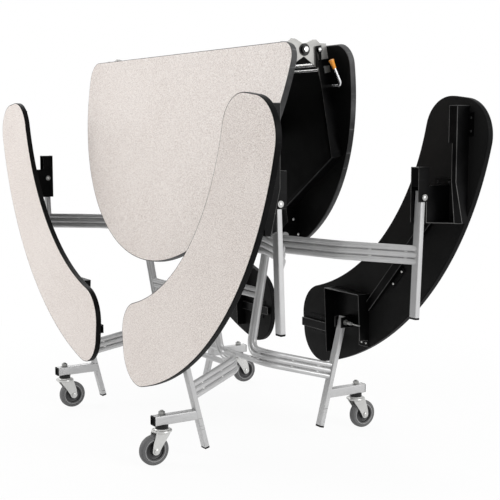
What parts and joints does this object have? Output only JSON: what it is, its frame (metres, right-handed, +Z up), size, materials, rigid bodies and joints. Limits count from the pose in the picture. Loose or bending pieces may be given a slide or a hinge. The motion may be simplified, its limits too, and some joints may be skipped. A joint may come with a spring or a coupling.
{
  "type": "folding cafeteria table with benches",
  "caption": "Round folding cafeteria table with curved benches on linked tube frames, stored upright on casters, with a latch handle.",
  "frame": {"origin": "on the floor, under the middle of the hinge shaft", "axes": "+X is the direction the far half folds out in, +Y runs along the hinge shaft, +Z is up"},
  "size_m": [0.964, 2.1914, 1.3858],
  "materials": {
    "laminate": "satin",
    "black_edge": "satin",
    "bench_laminate": "satin",
    "silver_frame": "satin",
    "black_steel": "satin",
    "bright_steel": "satin",
    "plate_steel": "satin",
    "latch_chrome": "gloss",
    "orange_grip": "satin",
    "black_plug": "matte",
    "zinc_fork": "satin",
    "wheel_hub": "satin",
    "wheel_tyre": "matte"
  },
  "bodies": {
    "centre_hinge": {"hinge_shaft": "bright_steel", "hinge_nuts": "black_steel"},
    "near_top": {"near_top_board": "laminate", "near_top_edging": "black_edge", "near_rails": "black_steel", "near_hinge_plates": "plate_steel", "near_lift_rods": "bright_steel", "near_screws": "bright_steel"},
    "near_lower_frame": {"near_lower_posts": "silver_frame", "near_lower_ribbon": "silver_frame", "near_lower_plugs": "black_plug", "near_caster_stems": "zinc_fork"},
    "near_upper_frame": {"near_upper_posts": "silver_frame", "near_upper_ribbon": "silver_frame", "near_upper_plugs": "black_plug"},
    "near_right_bench": {"near_right_bench_board": "bench_laminate", "near_right_bench_edging": "black_edge", "near_right_bench_steel": "black_steel", "near_right_bench_pins": "bright_steel"},
    "near_left_bench": {"near_left_bench_board": "bench_laminate", "near_left_bench_edging": "black_edge", "near_left_bench_steel": "black_steel", "near_left_bench_pins": "bright_steel"},
    "near_right_caster": {"near_right_fork": "zinc_fork"},
    "near_right_wheel": {"near_right_hub": "wheel_hub", "near_right_tyre": "wheel_tyre"},
    "near_left_caster": {"near_left_fork": "zinc_fork"},
    "near_left_wheel": {"near_left_hub": "wheel_hub", "near_left_tyre": "wheel_tyre"},
    "far_top": {"far_top_board": "laminate", "far_top_edging": "black_edge", "far_rails": "black_steel", "far_hinge_plates": "plate_steel", "far_lift_rods": "bright_steel", "far_screws": "bright_steel", "stop_link": "black_steel"},
    "far_lower_frame": {"far_lower_posts": "silver_frame", "far_lower_ribbon": "silver_frame", "far_lower_plugs": "black_plug", "far_caster_stems": "zinc_fork"},
    "far_upper_frame": {"far_upper_posts": "silver_frame", "far_upper_ribbon": "silver_frame", "far_upper_plugs": "black_plug"},
    "far_right_bench": {"far_right_bench_board": "bench_laminate", "far_right_bench_edging": "black_edge", "far_right_bench_steel": "black_steel", "far_right_bench_pins": "bright_steel"},
    "far_left_bench": {"far_left_bench_board": "bench_laminate", "far_left_bench_edging": "black_edge", "far_left_bench_steel": "black_steel", "far_left_bench_pins": "bright_steel"},
    "far_right_caster": {"far_right_fork": "zinc_fork"},
    "far_right_wheel": {"far_right_hub": "wheel_hub", "far_right_tyre": "wheel_tyre"},
    "far_left_caster": {"far_left_fork": "zinc_fork"},
    "far_left_wheel": {"far_left_hub": "wheel_hub", "far_left_tyre": "wheel_tyre"},
    "latch": {"latch_rod": "latch_chrome", "latch_grip": "orange_grip"}
  },
  "joints": [
    {"name": "near_fold", "type": "hinge", "parent": "centre_hinge", "child": "near_top", "pos_m": [0, 0, 1.352], "axis": [0, 1, 0], "range_deg": [0, 79.3]},
    {"name": "near_lower_frame_fold", "type": "hinge", "parent": "near_top", "child": "near_lower_frame", "pos_m": [-0.14028, 0, 0.72157], "axis": [0, 1, 0], "range_deg": [-64.9, 0]},
    {"name": "near_right_bench_fold", "type": "hinge", "parent": "near_lower_frame", "child": "near_right_bench", "pos_m": [-0.3336, 0, 0.40578], "axis": [0, 1, 0], "range_deg": [0, 75.6]},
    {"name": "near_left_bench_fold", "type": "hinge", "parent": "near_lower_frame", "child": "near_left_bench", "pos_m": [-0.3336, 0, 0.40578], "axis": [0, 1, 0], "range_deg": [0, 75.6]},
    {"name": "near_upper_frame_fold", "type": "hinge", "parent": "near_right_bench", "child": "near_upper_frame", "pos_m": [-0.2716, 0, 0.88708], "axis": [0, 1, 0], "range_deg": [-120.95, 0]},
    {"name": "near_right_caster_swivel", "type": "hinge", "parent": "near_lower_frame", "child": "near_right_caster", "pos_m": [-0.401, -0.419, 0.11], "axis": [0, 0, 1], "continuous": true},
    {"name": "near_right_wheel_spin", "type": "hinge", "parent": "near_right_caster", "child": "near_right_wheel", "pos_m": [-0.431, -0.419, 0.051], "axis": [0, 1, 0], "continuous": true},
    {"name": "near_left_caster_swivel", "type": "hinge", "parent": "near_lower_frame", "child": "near_left_caster", "pos_m": [-0.401, 0.419, 0.11], "axis": [0, 0, 1], "continuous": true},
    {"name": "near_left_wheel_spin", "type": "hinge", "parent": "near_left_caster", "child": "near_left_wheel", "pos_m": [-0.371, 0.419, 0.051], "axis": [0, 1, 0], "continuous": true},
    {"name": "far_fold", "type": "hinge", "parent": "centre_hinge", "child": "far_top", "pos_m": [0, 0, 1.352], "axis": [0, -1, 0], "range_deg": [0, 79.3]},
    {"name": "far_lower_frame_fold", "type": "hinge", "parent": "far_top", "child": "far_lower_frame", "pos_m": [0.14028, 0, 0.72157], "axis": [0, -1, 0], "range_deg": [-64.9, 0]},
    {"name": "far_right_bench_fold", "type": "hinge", "parent": "far_lower_frame", "child": "far_right_bench", "pos_m": [0.3336, 0, 0.40578], "axis": [0, -1, 0], "range_deg": [0, 75.6]},
    {"name": "far_left_bench_fold", "type": "hinge", "parent": "far_lower_frame", "child": "far_left_bench", "pos_m": [0.3336, 0, 0.40578], "axis": [0, -1, 0], "range_deg": [0, 75.6]},
    {"name": "far_upper_frame_fold", "type": "hinge", "parent": "far_right_bench", "child": "far_upper_frame", "pos_m": [0.2716, 0, 0.88708], "axis": [0, -1, 0], "range_deg": [-120.95, 0]},
    {"name": "far_right_caster_swivel", "type": "hinge", "parent": "far_lower_frame", "child": "far_right_caster", "pos_m": [0.401, -0.419, 0.11], "axis": [0, 0, 1], "continuous": true},
    {"name": "far_right_wheel_spin", "type": "hinge", "parent": "far_right_caster", "child": "far_right_wheel", "pos_m": [0.431, -0.419, 0.051], "axis": [0, 1, 0], "continuous": true},
    {"name": "far_left_caster_swivel", "type": "hinge", "parent": "far_lower_frame", "child": "far_left_caster", "pos_m": [0.401, 0.419, 0.11], "axis": [0, 0, 1], "continuous": true},
    {"name": "far_left_wheel_spin", "type": "hinge", "parent": "far_left_caster", "child": "far_left_wheel", "pos_m": [0.431, 0.419, 0.051], "axis": [0, 1, 0], "continuous": true},
    {"name": "latch_turn", "type": "hinge", "parent": "far_top", "child": "latch", "pos_m": [0.09255, 0, 1.23922], "axis": [0, 1, 0], "range_deg": [-40, 0]}
  ],
  "couplings": [
    {"joint": "near_right_bench_fold", "follows": "near_fold", "ratio": 0.95334},
    {"joint": "near_left_bench_fold", "follows": "near_fold", "ratio": 0.95334},
    {"joint": "near_lower_frame_fold", "follows": "near_fold", "ratio": -0.81841},
    {"joint": "near_upper_frame_fold", "follows": "near_fold", "ratio": -1.5252},
    {"joint": "far_right_bench_fold", "follows": "near_fold", "ratio": 0.95334},
    {"joint": "far_left_bench_fold", "follows": "near_fold", "ratio": 0.95334},
    {"joint": "far_lower_frame_fold", "follows": "near_fold", "ratio": -0.81841},
    {"joint": "far_upper_frame_fold", "follows": "near_fold", "ratio": -1.5252},
    {"joint": "far_fold", "follows": "near_fold", "ratio": 1}
  ]
}
